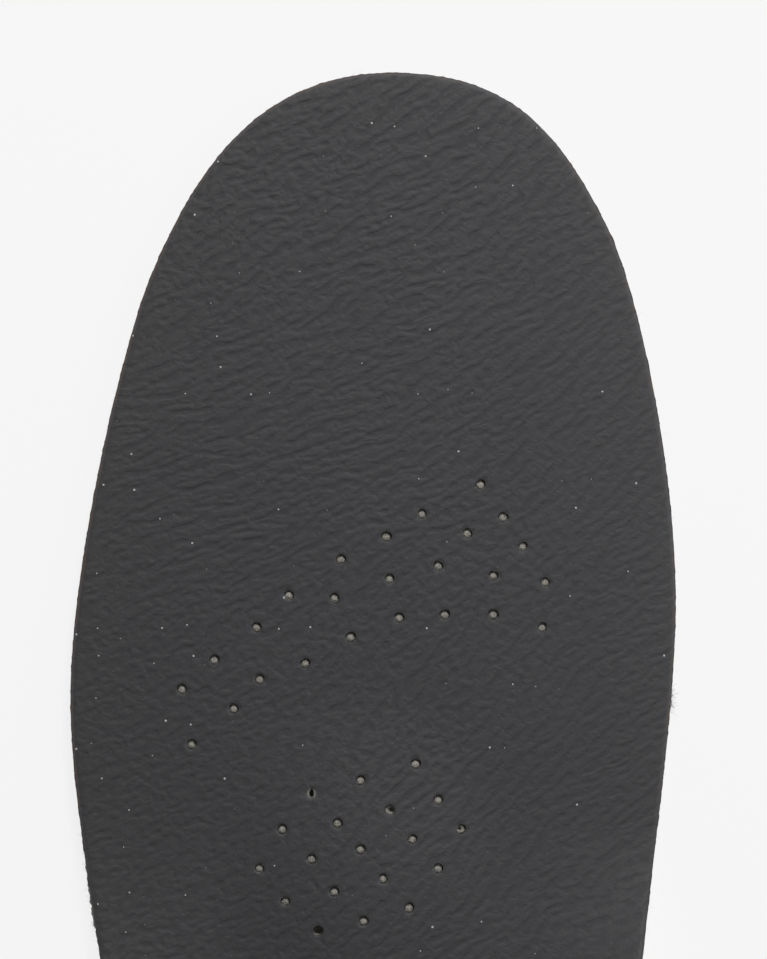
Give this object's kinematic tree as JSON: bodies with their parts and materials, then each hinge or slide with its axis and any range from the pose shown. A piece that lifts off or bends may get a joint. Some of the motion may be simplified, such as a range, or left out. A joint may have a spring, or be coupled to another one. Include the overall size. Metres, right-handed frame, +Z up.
{
  "type": "cushioned insole",
  "caption": "Full-length left shoe insole with a grained, perforated leather top over foam, raised arch, domed ball pad and shallow heel cup.",
  "frame": {"origin": "On the flat underside that rests in the shoe, directly below the middle of the insole's box.", "axes": "+Y points from the heel to the toe, +X to the inner (medial, big-toe) side of the left foot, +Z up from the shoe towards the foot."},
  "size_m": [0.0933, 0.27, 0.0241],
  "materials": {
    "cover_leather": "matt charcoal-black full-grain leather, fine wrinkled grain, punched holes",
    "latex_foam": "grey-beige open-cell latex foam",
    "pad_foam": "dense slow-recovery foam",
    "shell_plastic": "semi-rigid moulded plastic, fine matt texture",
    "heel_gel": "soft shock-absorbing elastomer",
    "base_foam": "moulded dark grey foam, closed cells",
    "liner_fabric": "white non-woven fleece, slightly fuzzy cut edge"
  },
  "bodies": {
    "root": {"top_cover": "cover_leather", "cushion_layer": "latex_foam", "metatarsal_pad": "pad_foam", "forefoot_pad": "pad_foam", "support_shell": "shell_plastic", "heel_pad": "heel_gel", "base": "base_foam", "bottom_liner": "liner_fabric"}
  },
  "joints": []
}
